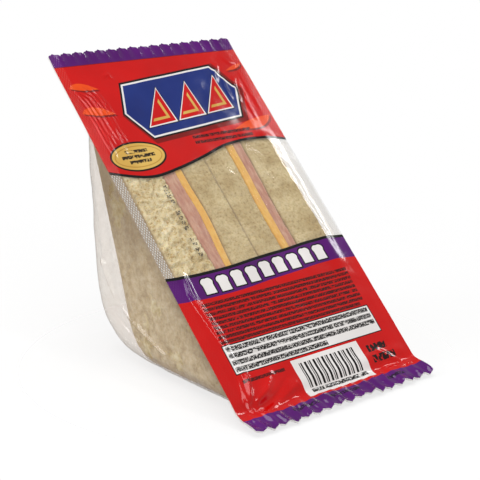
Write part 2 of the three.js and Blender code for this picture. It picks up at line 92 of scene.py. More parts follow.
SWEEP = 3.0
SWEEP_DROP = 0.0002
corners = [(-SWEEP, -SWEEP, 0), (SWEEP, -SWEEP, 0), (SWEEP, SWEEP, 0), (-SWEEP, SWEEP, 0)]
floor_data = bpy.data.meshes.new("sweep")
floor_data.from_pydata(corners, [], [(0, 1, 2, 3)])
floor = bpy.data.objects.new("sweep", floor_data)
floor.location.z = -SWEEP_DROP
scene.collection.objects.link(floor)
paper, tree = new_material("white studio paper")
place = node(tree, "ShaderNodeTexCoord", {}, {}).outputs["Object"]
reach = node(tree, "ShaderNodeVectorMath", {"operation": "LENGTH"}, {0: place})
fade = node(
    tree, "ShaderNodeMapRange", {"interpolation_type": "SMOOTHSTEP"},
    {"Value": reach.outputs["Value"], "From Min": 0.05, "From Max": 0.3, "To Min": 0.72},
)
lit = node(
    tree, "ShaderNodeBsdfPrincipled", {},
    {"Base Color": grey(0.93), "Roughness": 0.9, "Specular IOR Level": 0.1},
)
beyond = node(tree, "ShaderNodeBsdfTransparent", {}, {})
surface = node(
    tree, "ShaderNodeMixShader", {}, {0: fade.outputs[0], 1: lit.outputs[0], 2: beyond.outputs[0]}
)
node(tree, "ShaderNodeOutputMaterial", {}, {"Surface": surface.outputs[0]})
floor_data.materials.append(paper)

world = bpy.data.worlds.new("studio")
scene.world = world
world.use_nodes = True
tree = world.node_tree
tree.nodes.clear()
path = node(tree, "ShaderNodeLightPath", {}, {})
seen = node(
    tree, "ShaderNodeMath", {"operation": "MAXIMUM"},
    {0: path.outputs["Is Camera Ray"], 1: path.outputs["Is Transmission Ray"]},
)
room = node(tree, "ShaderNodeBackground", {}, {"Color": (1.0, 0.985, 0.96, 1.0), "Strength": 0.34})
backdrop = node(tree, "ShaderNodeBackground", {}, {"Color": grey(1.0), "Strength": 1.0})
mixed = node(
    tree, "ShaderNodeMixShader", {}, {0: seen.outputs[0], 1: room.outputs[0], 2: backdrop.outputs[0]}
)
node(tree, "ShaderNodeOutputWorld", {}, {"Surface": mixed.outputs[0]})


LIT_PLACE = Vector((0, 0, 0.05))


def soft_box(name, place, size, watts):
    """A plain rectangular lamp that looks at the middle of the pack."""
    light = bpy.data.lights.new(name, "AREA")
    light.shape = "RECTANGLE"
    light.size, light.size_y = size
    light.energy = watts
    lamp = bpy.data.objects.new(name, light)
    lamp.location = place
    aim = LIT_PLACE - Vector(place)
    lamp.rotation_euler = aim.to_track_quat("-Z", "Y").to_euler()
    scene.collection.objects.link(lamp)


soft_box("overhead box", (-0.25, 0.05, 1.1), (0.8, 0.8), 6.4)
soft_box("front box", (-0.45, -1.1, 0.4), (0.7, 0.5), 4.4)
soft_box("left box", (-0.95, 0.35, 0.4), (0.6, 0.7), 5.0)
soft_box("right strip", (0.85, -0.12, 0.62), (0.08, 0.5), 1.6)
soft_box("left strip", (0.05, -0.55, 0.95), (0.08, 0.5), 1.2)

# The wedge
# Every piece lies in one wedge, whose mouth slants at 45 degrees. On the mouth "down" runs along
# the printed film from the purple head strip, and "depth" runs into the pack. Millimetres.
DIAGONAL = math.sqrt(0.5)
BACK_WALL_Y = 51.19
LEG = 107.3
HEAD_MARGIN = 8.5
HALF_WIDTH = 45.0


# The bread
# Four slices of soft white bread, each half of a square slice cut from corner to corner. They
# are baked with a thin brown crust, and pressed together until they fill the pocket.
def linear(hex_colour):
    """An sRGB hex colour as linear RGBA."""
    parts = [int(hex_colour[i : i + 2], 16) / 255 for i in (1, 3, 5)]
    bent = [p / 12.92 if p <= 0.04045 else ((p + 0.055) / 1.055) ** 2.4 for p in parts]
    return (*bent, 1.0)


def per_mm(size):
    """The scale of a pattern in metres whose features are this many millimetres wide."""
    return 1000 / size


def crumb(name, light, base, deep, pore, relief):
    """Bread crumb: pale and matt, porous where it is cut, with mottled painted shade on the side under
    the flange, and a brown crust.
    """
    material, tree = new_material(name)
    place = node(tree, "ShaderNodeTexCoord", {}, {}).outputs["Object"]
    grain = node(
        tree, "ShaderNodeTexNoise", {},
        {"Vector": place, "Scale": per_mm(pore), "Detail": 8.0, "Roughness": 0.68},
    )
    cells = node(
        tree, "ShaderNodeTexVoronoi", {"feature": "SMOOTH_F1"},
        {"Vector": place, "Scale": per_mm(pore * 1.3), "Smoothness": 0.35, "Detail": 1.0},
    )
    patches = node(
        tree, "ShaderNodeTexNoise", {},
        {"Vector": place, "Scale": per_mm(11), "Detail": 3.0, "Roughness": 0.55},
    )
    tone = node(
        tree,
        "ShaderNodeValToRGB",
        {"stops": [(0.36, linear(deep)), (0.47, linear(base)), (0.64, linear(light))]},
        {"Fac": grain.outputs["Fac"]},
    )
    shade = node(
        tree, "ShaderNodeValToRGB", {"stops": [(0.34, linear("#D2C6AE")), (0.62, linear("#FFFFFF"))]},
        {"Fac": patches.outputs["Fac"]},
    )
    patched = node(
        tree, "ShaderNodeMix", {"data_type": "RGBA", "blend_type": "MULTIPLY"},
        {0: 0.8, 6: tone.outputs[0], 7: shade.outputs[0]},
    )
    mottle = node(
        tree, "ShaderNodeTexNoise", {},
        {"Vector": place, "Scale": per_mm(3.4), "Detail": 7.0, "Roughness": 0.7},
    )
    side_tone = node(
        tree,
        "ShaderNodeValToRGB",
        {"stops": [(0.36, linear("#B09A74")), (0.5, linear("#CCBA96")), (0.64, linear("#DCCEB0"))]},
        {"Fac": mottle.outputs["Fac"]},
    )
    # Painted shade: the side darkens to brown #7F6844 where the flange's shadow falls, near the film
    # and at the top
    brown = node(tree, "ShaderNodeAttribute", {"attribute_name": "brown"}, {})
    side_with_painted_shade = node(
        tree, "ShaderNodeMix", {"data_type": "RGBA"},
        {0: brown.outputs["Fac"], 6: side_tone.outputs[0], 7: linear("#7F6844")},
    )
    cut = node(tree, "ShaderNodeAttribute", {"attribute_name": "cut"}, {})
    either = node(
        tree, "ShaderNodeMix", {"data_type": "RGBA"},
        {0: cut.outputs["Fac"], 6: side_with_painted_shade.outputs[2], 7: patched.outputs[2]},
    )
    crust_tone = node(
        tree, "ShaderNodeValToRGB", {"stops": [(0.35, linear("#7C4E27")), (0.65, linear("#B37E47"))]},
        {"Fac": patches.outputs["Fac"]},
    )
    crust = node(tree, "ShaderNodeAttribute", {"attribute_name": "crust"}, {})
    coloured = node(
        tree, "ShaderNodeMix", {"data_type": "RGBA"},
        {0: crust.outputs["Fac"], 6: either.outputs[2], 7: crust_tone.outputs[0]},
    )
    height = node(
        tree, "ShaderNodeMath", {"operation": "ADD"},
        {0: grain.outputs["Fac"], 1: cells.outputs["Distance"]},
    )
    deepened = node(
        tree, "ShaderNodeMapRange", {},
        {"Value": cut.outputs["Fac"], "To Min": 0.3 * relief, "To Max": relief},
    )
    bump = node(
        tree, "ShaderNodeBump", {},
        {"Height": height.outputs[0], "Strength": deepened.outputs[0], "Distance": 0.0006},
    )
    surface = node(
        tree, "ShaderNodeBsdfPrincipled", {},
        {
            "Base Color": coloured.outputs[2], "Roughness": 0.88, "Specular IOR Level": 0.25,
            "Normal": bump.outputs[0], "Subsurface Weight": 0.12, "Subsurface Radius": (0.9, 0.6, 0.3),
            "Subsurface Scale": 0.0015,
        },
    )
    node(tree, "ShaderNodeOutputMaterial", {}, {"Surface": surface.outputs[0]})
    return material


coarse_crumb = crumb("coarse bread crumb", "#FCF3D6", "#F0E2B6", "#C4A468", 1.3, 0.9)
soft_crumb = crumb("soft moist bread crumb", "#DCCDA6", "#D0BF94", "#B5A072", 1.1, 0.45)
FOOD_VOXEL = 0.8


def lumps(points, size, octaves, seed):
    """Smooth random relief from about -1 to 1, its lumps about that many millimetres across."""
    shift = Vector((seed * 17.3, seed * -9.1, seed * 5.7))
    return np.array(
        [noise.fractal(Vector(p) / size + shift, 0.7, 2.0, octaves) for p in points.tolist()]
    )


def smoothstep(low, high, value):
    t = np.clip((value - low) / (high - low), 0, 1)
    return t * t * (3 - 2 * t)


def evenly_meshed(node_name):
    """A finely and evenly meshed copy of a CAD node."""
    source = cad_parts[node_name]
    draft = bpy.data.objects.new("draft", source.data.copy())
    scene.collection.objects.link(draft)
    draft.matrix_world = source.matrix_world
    remesh = draft.modifiers.new("even mesh", "REMESH")
    remesh.mode = "VOXEL"
    remesh.voxel_size = FOOD_VOXEL / 1000
    bpy.context.view_layer.update()
    shaped = draft.evaluated_get(bpy.context.evaluated_depsgraph_get())
    mesh = bpy.data.meshes.new_from_object(shaped)
    bpy.data.objects.remove(draft)
    mesh.materials.clear()
    return mesh


def surface_of(mesh):
    """The points in millimetres and the normals of a mesh."""
    points = np.empty(len(mesh.vertices) * 3)
    normals = np.empty(len(mesh.vertices) * 3)
    mesh.vertices.foreach_get("co", points)
    mesh.vertices.foreach_get("normal", normals)
    return points.reshape(-1, 3) * 1000, normals.reshape(-1, 3)


def finish_piece(name, mesh, materials, slot, *nodes):
    """Puts a mesh in the scene in the place of CAD nodes."""
    mesh.polygons.foreach_set("use_smooth", np.ones(len(mesh.polygons), dtype=bool))
    for material in materials:
        mesh.materials.append(material)
    piece = bpy.data.objects.new(name, mesh)
    scene.collection.objects.link(piece)
    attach(piece, "root")
    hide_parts(*nodes)


OUT_OF_MOUTH = np.array([0, -DIAGONAL, DIAGONAL])
MEETING_GAP = 0.2
FACING = (0.5, 0.9)

# The cut and the crust by their depth behind the film, and where shade is painted on the side as a
# darker brown, standing for the flange's shadow: near the film by depth, and at the top by height
CUT_DEPTHS = (3.0, 1.5)
CRUST_DEPTHS = (1.6, 3.0)
BASE_CRUST_HEIGHTS = (2.2, 1.2)
PAINTED_SHADE_DEPTHS = (17, 4)
PAINTED_SHADE_HEIGHTS = (38, 62)

# The slices aren't quite straight. Each meeting face has its place across the pack, places down
# the cut, and how far it moves at each of them
MEETINGS = (
    (-21.4, (60, 73, 86, 96), (-0.8, -0.7, -0.6, 0.1)),
    (-14.0, (60, 75, 86, 96), (-0.3, 0.8, -0.3, -1.1)),
    (17.0, (60, 76, 92, 110), (-0.3, -1.3, -1.1, -0.7)),
)


def depth_of(points):
    """How deep points lie behind the film, in millimetres."""
    return (points[:, 1] - BACK_WALL_Y - points[:, 2] + LEG) * DIAGONAL


def bowed(points):
    """How far the soft slices lean across the pack at each point, as they were packed."""
    along = BACK_WALL_Y - points[:, 1] + LEG - points[:, 2]
    down = HEAD_MARGIN + along / 2 / DIAGONAL
    moves = []
    for _, places, shifts in MEETINGS:
        around = [np.interp(down + step, places, shifts) for step in (-6, -4, -2, 0, 2, 4, 6)]
        moves.append(np.mean(around, axis=0))
    left, middle, right = [place for place, _, _ in MEETINGS]
    x = points[:, 0]
    share = smoothstep(left, middle, x)
    lean = moves[0] * (1 - share) + moves[1] * share
    lean *= smoothstep(left - 11, left - 3, x) * smoothstep(middle + 10, middle + 1, x)
    lean += moves[2] * smoothstep(right - 12, right - 3, x) * smoothstep(right + 14, right + 5, x)
    return lean


for name, look, pits, pit_size in (
    ("bread_outer_left", coarse_crumb, 1.2, 2.2),
    ("bread_inner_left", soft_crumb, 0.35, 2.2),
    ("bread_inner_right", soft_crumb, 0.35, 2.4),
    ("bread_outer_right", soft_crumb, 0.4, 2.2),
):
    mesh = evenly_meshed(name)
    points, normals = surface_of(mesh)
    depth = depth_of(points)
    cut = smoothstep(*FACING, normals @ OUT_OF_MOUTH) * smoothstep(*CUT_DEPTHS, depth)
    side = smoothstep(*FACING, np.abs(normals[:, 0]))
    seed = len(name) + pits
    holes = smoothstep(0.0, 0.55, lumps(points, pit_size, 3, seed))
    soft = lumps(points, 14.0, 2, seed + 3)
    fine = lumps(points, 3.0, 2, seed + 7)
    push = cut * (-pits * holes - 0.2 * np.abs(soft))
    push += side * (MEETING_GAP - 0.25 * np.abs(fine))
    push -= (1 - cut) * (1 - side) * 0.3 * np.abs(fine)
    legs = np.hypot(normals[:, 1], normals[:, 2])
    crust = smoothstep(0.45, 0.8, legs) * smoothstep(*CRUST_DEPTHS, depth)
    crust = np.maximum(crust, 0.75 * smoothstep(*BASE_CRUST_HEIGHTS, points[:, 2]))
    # Painted shade for the flange's shadow on the side, near the film and at the top, mottled by noise
    brown = smoothstep(*PAINTED_SHADE_DEPTHS, depth) * (0.6 + 0.3 * lumps(points, 5.0, 3, seed + 11))
    brown = np.maximum(brown, smoothstep(*PAINTED_SHADE_HEIGHTS, points[:, 2]) * (0.6 + 0.2 * soft))
    points += normals * push[:, None]
    points[:, 0] += bowed(points)
    mesh.vertices.foreach_set("co", (points / 1000).ravel())
    for attribute, values in (("brown", np.clip(brown, 0, 1)), ("crust", crust), ("cut", cut)):
        mesh.attributes.new(attribute, "FLOAT", "POINT").data.foreach_set("value", values)
    finish_piece(name.replace("bread", "slice"), mesh, [look], "bread", name)


# The fillings
# Next to the cheese lie thin slices of cooked ham, folded on themselves, with paler fat in
# them. The cheese is one smooth processed slab on each side, cut with the sandwich.
def filling(name, stops, along, roughness, relief, glow):
    """A moist filling whose grain runs along the cut, with stops of colour from dark to light."""
    material, tree = new_material(name)
    place = node(tree, "ShaderNodeTexCoord", {}, {}).outputs["Object"]
    drawn = node(tree, "ShaderNodeMapping", {}, {"Vector": place, "Scale": (1.0, along, along)})
    grain = node(
        tree, "ShaderNodeTexNoise", {},
        {"Vector": drawn.outputs[0], "Scale": per_mm(1.6), "Detail": 5.0, "Roughness": 0.6},
    )
    tone = node(
        tree, "ShaderNodeValToRGB", {"stops": [(at, linear(colour)) for at, colour in stops]},
        {"Fac": grain.outputs["Fac"]},
    )
    bump = node(
        tree, "ShaderNodeBump", {},
        {"Height": grain.outputs["Fac"], "Strength": relief, "Distance": 0.0005},
    )
    surface = node(
        tree, "ShaderNodeBsdfPrincipled", {},
        {
            "Base Color": tone.outputs[0], "Roughness": roughness, "Normal": bump.outputs[0],
            "Subsurface Weight": glow, "Subsurface Radius": (1.0, 0.5, 0.25),
            "Subsurface Scale": 0.0018,
        },
    )
    node(tree, "ShaderNodeOutputMaterial", {}, {"Surface": surface.outputs[0]})
    return material


ham = filling(
    "cooked ham", [(0.34, "#AE7260"), (0.5, "#BE8A74"), (0.68, "#CDA38C")], 0.3, 0.42, 0.6, 0.3
)
cheese = filling(
    "processed cheese", [(0.3, "#DFA53C"), (0.55, "#E8B650"), (0.75, "#EDC46C")], 0.6, 0.4, 0.15, 0.3
)

for name, look, wave, slot in (
    ("ham_left", ham, 0.55, "ham"),
    ("cheese_left", cheese, 0.15, "cheese"),
    ("cheese_right", cheese, 0.25, "cheese"),
    ("ham_right", ham, 0.5, "ham"),
):
    mesh = evenly_meshed(name)
    points, normals = surface_of(mesh)
    cut = smoothstep(*FACING, normals @ OUT_OF_MOUTH)
    side = smoothstep(*FACING, np.abs(normals[:, 0]))
    waves = lumps(points, 9.0, 2, len(name) + wave)
    ragged = np.abs(lumps(points * np.array([2.2, 0.5, 0.5]), 3.0, 2, wave))
    push = side * (MEETING_GAP + wave * 0.5 * waves) - cut * wave * ragged
    points += normals * push[:, None]
    points[:, 0] += bowed(points)
    mesh.vertices.foreach_set("co", (points / 1000).ravel())
    finish_piece(name.replace("_", "_slice_"), mesh, [look], slot, name)


# The formed pocket
# A clear film, drawn hot into a wedge-shaped mould, with a round apex and rounded sides. It
# clings to the bread, with a few creases where it shrank, and ends in a flange on the mouth.
FLANGE_DEPTH = 0.75
SIDE_SEAL = 4.5
SIDE_WALL = HALF_WIDTH - SIDE_SEAL
SIDE_ROUND = 12.0
WALL_DRAFT = math.radians(3)
NARROWING = math.tan(WALL_DRAFT) / SIDE_WALL
APEX_RADIUS = 36
TOP_LIP = 4.5
FOOT_LIP = 9.2
LIP_RUN = 2.0
LIP_RADIUS = 4
FOOT_CORNER = HEAD_MARGIN + LEG / DIAGONAL
ACROSS = 220
SIDE_ROWS = 84
ROUND_ROWS = 20
MIDDLE_ROWS = 24


def on_mouth(down, depth):
    along = (down - HEAD_MARGIN) * DIAGONAL
    return BACK_WALL_Y - along + depth * DIAGONAL, LEG - along - depth * DIAGONAL


def from_back(back, height):
    """A place in the plane of the pack's side, from the back wall and the table."""
    drop = LEG - height
    return np.array([HEAD_MARGIN + (back + drop) * DIAGONAL, (drop - back) * DIAGONAL])


def rounded_path(corners, count):
    """An open path through (point, radius) corners, evenly spaced along its length."""
    places = [np.asarray(place, float) for place, _ in corners]
    points = [places[0]]
    for i in range(1, len(corners) - 1):
        before = places[i] - places[i - 1]
        after = places[i + 1] - places[i]
        room = 0.45 * min(np.hypot(*before), np.hypot(*after))
        before /= np.hypot(*before)
        after /= np.hypot(*after)
        turn = math.atan2(before[0] * after[1] - before[1] * after[0], before @ after)
        tangent = min(corners[i][1] * math.tan(abs(turn) / 2), room)
        start, end = places[i] - tangent * before, places[i] + tangent * after
        for t in np.linspace(0, 1, 13):
            points.append((1 - t) ** 2 * start + 2 * t * (1 - t) * places[i] + t * t * end)
    points.append(places[-1])
    points = np.array(points)
    run = np.concatenate([[0], np.cumsum(np.hypot(*np.diff(points, axis=0).T))])
    steps = np.linspace(0, run[-1], count)
    return np.column_stack([np.interp(steps, run, points[:, k]) for k in (0, 1)])


def pocket_path(inset):
    """The pocket's line in the side's plane: its base, apex and back, moved in by the inset."""
    head = HEAD_MARGIN + inset / DIAGONAL
    foot = FOOT_CORNER - inset / DIAGONAL
    return rounded_path(
        [
            ((foot - FOOT_LIP, FLANGE_DEPTH), 0),
            ((foot - FOOT_LIP - LIP_RUN, FOOT_LIP + LIP_RUN), LIP_RADIUS),
            (from_back(inset, inset), APEX_RADIUS - inset),
            ((head + TOP_LIP + LIP_RUN, TOP_LIP + LIP_RUN), LIP_RADIUS),
            ((head + TOP_LIP, FLANGE_DEPTH), 0),
        ],
        ACROSS,
    )


def folds(places, paths):
    """The relief of soft folds, each a path of points, a width and a height."""
    total = np.zeros(len(places))
    for path, width, height in paths:
        path = np.array(path, float)
        best = np.zeros(len(places))
        for i in range(len(path) - 1):
            run = path[i + 1] - path[i]
            share = np.clip(((places - path[i]) @ run) / (run @ run), 0, 1)
            away = np.hypot(*(places - path[i] - share[:, None] * run).T)
            along = (i + share) / (len(path) - 1)
            fade = np.sin(math.pi * np.clip(along, 0.04, 0.96)) ** 0.5
            best = np.maximum(best, fade * np.exp(-((away / width) ** 2)))
        total += height * best
    return total


CREASE_DOWN = 151.545
CREASE_RADIUS = 10.0
FOOT_SLOPE = math.radians(14.14)
CREASE_LENGTH = CREASE_RADIUS * (math.pi / 4 - FOOT_SLOPE)
FOOT_EDGE = CREASE_DOWN + CREASE_LENGTH
HEAD_TIP = -7.0
FOOT_STRIP = 8.5
FOOT_TIP = FOOT_EDGE + FOOT_STRIP
TEETH = 17
TOOTH_DEPTH = 2.0

# Folds of the two sealed films: points across and down, a width and a height
FILM_FOLDS = [
    # A fan of fine wrinkles at the head's left
    ([(-39.9, 13.8), (-38, 16.3), (-37.1, 22), (-36.3, 27.6), (-36.2, 37.5)], 0.45, 0.52),
    ([(-39.2, 12.5), (-35.9, 15.5), (-34.6, 21.2), (-34.4, 29), (-33.9, 36.2)], 0.45, 0.55),
    ([(-35.8, 12.1), (-33.5, 16.9), (-32.7, 23.7), (-32.7, 32), (-32.7, 41)], 0.45, 0.48),
    ([(-33.1, 13), (-31.5, 18.3), (-31.2, 23.9), (-31.5, 31.6), (-30.2, 38.4)], 0.45, 0.4),
    ([(-41, 12), (-39.2, 18.5), (-38.6, 26), (-38.2, 33), (-38.3, 44)], 0.45, 0.5),
    ([(-37.6, 10.5), (-34.8, 14.5), (-33.6, 20), (-33.5, 30), (-33.2, 44)], 0.4, 0.4),
    ([(-40.6, 20), (-39.8, 28), (-39.7, 36), (-39, 45)], 0.4, 0.42),
    ([(-34.4, 10), (-32.2, 14), (-30, 20), (-29.6, 27)], 0.4, 0.36),
    ([(-25.5, 6.6), (-22.9, 5.8), (-21.7, 7.6)], 0.8, 0.35),
    # Short folds at the head's right
    ([(30.9, 7.5), (28.4, 10.6), (26.5, 14.4)], 1, 0.5),
    ([(31, 14.2), (29.6, 18.1), (29.6, 24.3)], 0.6, 0.35),
    ([(36.3, 14.8), (33.9, 19.8), (33, 26.8)], 0.6, 0.35),
    ([(37.6, 18), (36.4, 26), (36.2, 36)], 0.5, 0.3),
    ([(42.4, 11.5), (41.8, 20.8), (41.2, 30.1)], 1, 0.45),
    ([(36.4, 3.5), (38.5, 6.2), (40.6, 7.1)], 1.2, 0.3),
    # The ridge that the food presses up along the left
    ([(-36.8, 95), (-38.4, 104.9), (-37.9, 108.5), (-36.2, 118.7), (-34, 131)], 1.5, 0.55),
    ([(-36.8, 97), (-38.6, 104.9), (-38.2, 106.5), (-36.2, 118.7), (-34.2, 129)], 0.45, 0.45),
    ([(-35.6, 97), (-36.2, 109.4), (-35, 115.6), (-33.3, 124.8)], 0.4, 0.3),
    ([(-38.9, 106), (-37.6, 114), (-36.6, 122), (-35.4, 130)], 0.4, 0.28),
    # Folds round the crease at the foot
    ([(-35, 128.1), (-34.8, 136.8), (-33.4, 141.6), (-36.6, 150)], 0.9, 0.6),
    ([(-33, 139.6), (-35.3, 145.7), (-38.6, 151.6)], 1.2, 1),
    ([(-22.6, 143), (-28, 147.7), (-33.8, 150.6), (-36.7, 153.2)], 1.5, 1),
    ([(-14.3, 149.5), (-23.1, 152.6), (-31.2, 155), (-34.3, 156.2)], 1.2, 0.8),
    ([(-17, 146), (-25, 150.6), (-33, 153.5)], 1.1, -0.5),
    ([(-35.7, 139), (-38.9, 149.6), (-38, 154.3), (-33.2, 156.5)], 0.9, 0.6),
    ([(30, 147), (33.5, 150.5), (38.5, 153.5)], 1.1, 0.5),
    ([(26.2, 154.8), (36.4, 155.2), (44.2, 155)], 1, 0.5),
    # A broad bulge along the window's right
    ([(35.4, 46), (35.2, 60), (35, 80), (35.4, 100), (35.6, 112)], 3.4, 0.8),
    ([(37.9, 60), (37.6, 80), (38, 98)], 0.8, 0.2),
]

# Swells across the film near the crease: how far down, a width and a height
SWELLS = ((148.6, 2.6, 0.3), (153.2, 2.4, -0.7))


def lift(x, down):
    """How far the two sealed films stand out from the flat, in millimetres."""
    places = np.column_stack([x, down])
    solid = np.column_stack([x, down, np.zeros(len(x))])
    total = folds(places, FILM_FOLDS)
    total += 0.16 * lumps(solid, 13.0, 2, 2.0) * smoothstep(0, 8, down)
    swell = sum(height * np.exp(-(((down - at) / width) ** 2)) for at, width, height in SWELLS)
    near_side = smoothstep(HALF_WIDTH + 3, HALF_WIDTH - 9, np.abs(x))
    total += swell * (1 + 0.25 * np.sin(x / 7.0)) * near_side
    head = smoothstep(1.5, HEAD_TIP, down)
    ripples = np.cos((x + HALF_WIDTH) * 2 * math.pi * TEETH / (2 * HALF_WIDTH))
    total += head * (0.32 * ripples + 0.18 * lumps(solid, 6.5, 2, 6.0))
    foot = smoothstep(CREASE_DOWN - 1, FOOT_EDGE + 4, down)
    total += foot * (0.9 * lumps(solid * [1, 0.6, 1], 7.0, 3, 8.0) + 0.25 * ripples + 0.45)
    return total


side_paths = pocket_path(SIDE_ROUND)
chord = side_paths[0] + np.linspace(0, 1, ACROSS)[:, None] * (side_paths[-1] - side_paths[0])
left_rows = []
for share in np.linspace(1, 0, SIDE_ROWS)[:-1]:
    left_rows.append((-SIDE_WALL, chord * share + side_paths * (1 - share)))
for angle in np.radians(np.linspace(0, 90, ROUND_ROWS)):
    inset = SIDE_ROUND * (1 - math.sin(angle))
    left_rows.append((-SIDE_WALL + SIDE_ROUND * (1 - math.cos(angle)), pocket_path(inset)))
across_middle = np.linspace(-SIDE_WALL + SIDE_ROUND, 0, MIDDLE_ROWS)[1:]
rows = left_rows + [(x, left_rows[-1][1]) for x in across_middle]
rows += [(-x, path) for x, path in reversed(rows[:-1])]
grid = []
for x, path in rows:
    y, z = on_mouth(path[:, 0], path[:, 1])
    grid.append(np.column_stack([x * (1 - NARROWING * path[:, 1]), y, z]))
grid = np.array(grid)
flat = grid.reshape(-1, 3)
faces = []
for i in range(len(rows) - 1):
    for k in range(ACROSS - 1):
        a = i * ACROSS + k
        faces.append((a, a + 1, a + ACROSS + 1, a + ACROSS))
mesh = bpy.data.meshes.new("pocket")
mesh.from_pydata((flat / 1000).tolist(), [], faces)
points, normals = surface_of(mesh)
on_wall = smoothstep(0.75, 0.97, np.abs(normals[:, 0]))
creases = folds(
    points[:, 1:],
    [
        ([(27.7, 24.3), (16.7, 18.4), (5.8, 14.4), (-7.6, 9.6)], 0.55, 1.35),
        ([(30.5, 19), (20, 14), (8, 9.8)], 0.6, -0.8),
        ([(21, 21.9), (13, 18), (6.5, 15.6)], 0.5, 0.5),
        ([(24, 33.5), (21.1, 37.5), (17.2, 42.1), (13.4, 46.5)], 0.5, 1),
        ([(37.9, 39.7), (33.6, 31.3), (29.3, 24.4)], 0.6, 0.9),
        ([(39.3, 40.6), (37.1, 38.8), (33.2, 37.8)], 0.9, 0.5),
        ([(40, 70), (37.5, 52), (37, 36), (32, 24)], 1.6, 0.5),
        ([(34, 66), (31, 50), (29, 34)], 1, 0.35),
        ([(-12, 8), (-26, 9.5), (-38, 13)], 1.1, 0.4),
        ([(-20, 6), (-34, 6)], 0.8, 0.3),
        ([(20, 60), (12, 50), (8, 36)], 2.2, 0.3),
    ],
)
to_edge = np.minimum(points[:, 2] / 3.0, 1.0)
inside = np.clip((depth_of(points) - 2) / 6, 0, 1)
waves = 0.45 * lumps(points, 16.0, 2, 4.0) + 0.12 * lumps(points * [1, 1, 0.5], 4.0, 2, 9.0)
push = inside * to_edge * (waves - 0.35 + on_wall * creases)
outward = np.sign(np.sum(normals * (flat - [0, -10, 40]), axis=1))
points += normals * (outward * push)[:, None]
path_down, path_depth = np.concatenate([path for _, path in rows]).T
rim = np.clip(1 - (path_depth - FLANGE_DEPTH) / 4, 0, 1)
points += (rim * lift(flat[:, 0], path_down))[:, None] * OUT_OF_MOUTH
mesh.vertices.foreach_set("co", (points / 1000).ravel())
mouth_loop = np.concatenate(
    [
        np.column_stack([grid[::-1, -1, 0], [path[-1][0] for _, path in rows[::-1]]]),
        np.column_stack([grid[0, ::-1, 0], rows[0][1][::-1, 0]])[1:],
        np.column_stack([grid[:, 0, 0], [path[0][0] for _, path in rows]])[1:],
        np.column_stack([grid[-1, :, 0], rows[-1][1][:, 0]])[1:-1],
    ]
)


def clear_film(name, haze, haze_share, rough, relief, wrinkle):
    """Clear glossy film: what lies behind it shows through, with a faint haze and fine creases."""
    material, tree = new_material(name)
    place = node(tree, "ShaderNodeTexCoord", {}, {}).outputs["Object"]
    creased = node(
        tree, "ShaderNodeTexNoise", {},
        {"Vector": place, "Scale": per_mm(wrinkle), "Detail": 3.0, "Roughness": 0.5, "Distortion": 1.2},
    )
    bump = node(
        tree, "ShaderNodeBump", {},
        {"Height": creased.outputs["Fac"], "Strength": relief, "Distance": 0.0005},
    )
    cloud = node(
        tree,
        "ShaderNodeValToRGB",
        {"stops": [(0.3, grey(haze_share * 0.75)), (0.7, grey(haze_share * 1.25))]},
        {"Fac": creased.outputs["Fac"]},
    )
    facing = node(tree, "ShaderNodeLayerWeight", {}, {"Blend": 0.5, "Normal": bump.outputs[0]})
    grazing = node(
        tree, "ShaderNodeMath", {"operation": "POWER"}, {0: facing.outputs["Facing"], 1: 4.0}
    )
    mirrored = node(
        tree, "ShaderNodeMapRange", {}, {"Value": grazing.outputs[0], "To Min": 0.045, "To Max": 0.75}
    )
    through = node(tree, "ShaderNodeBsdfTransparent", {}, {"Color": (0.985, 0.968, 0.945, 1.0)})
    shine = node(
        tree, "ShaderNodeBsdfAnisotropic", {},
        {"Color": grey(1.0), "Roughness": rough, "Normal": bump.outputs[0]},
    )
    glossy = node(
        tree, "ShaderNodeMixShader", {},
        {0: mirrored.outputs[0], 1: through.outputs[0], 2: shine.outputs[0]},
    )
    milky = node(
        tree, "ShaderNodeBsdfPrincipled", {},
        {"Base Color": linear(haze), "Roughness": 0.35, "Normal": bump.outputs[0]},
    )
    surface = node(
        tree, "ShaderNodeMixShader", {},
        {0: cloud.outputs[0], 1: glossy.outputs[0], 2: milky.outputs[0]},
    )
    node(tree, "ShaderNodeOutputMaterial", {}, {"Surface": surface.outputs[0]})
    return material


pocket_film = clear_film("clear formed film", "#E4D0BC", 0.15, 0.12, 0.35, 7.0)
finish_piece("pocket_wedge", mesh, [pocket_film], "clear_film", "formed_pocket")


# The flange
# The rest of the same film: it lies flat behind the printed film, with the wedge's mouth in it,
# and both are cut together in teeth at the head and the foot. The foot is creased outwards.
draw = np.random.default_rng(11)
TOOTH_POINTS = 14
TABLE_GAP = 0.15
EDGE_STEP = 1.3
ROW_STEP = 0.87
JITTER = 0.15
FLANGE_SPACING = 0.9


def on_film(x, down, depth):
    """Places on the film, or "depth" behind its front, as points in millimetres."""
    bent = np.clip(down - CREASE_DOWN, 0, CREASE_LENGTH)
    slope = math.pi / 4 - bent / CREASE_RADIUS
    beyond = np.maximum(down - FOOT_EDGE, 0)
    y, z = on_mouth(np.minimum(down, CREASE_DOWN), 0)
    y -= CREASE_RADIUS * (DIAGONAL - np.sin(slope)) + beyond * np.cos(slope)
    z -= CREASE_RADIUS * (np.cos(slope) - DIAGONAL) + beyond * np.sin(slope)
    return np.column_stack([x, y + depth * np.sin(slope), z - depth * np.cos(slope)])


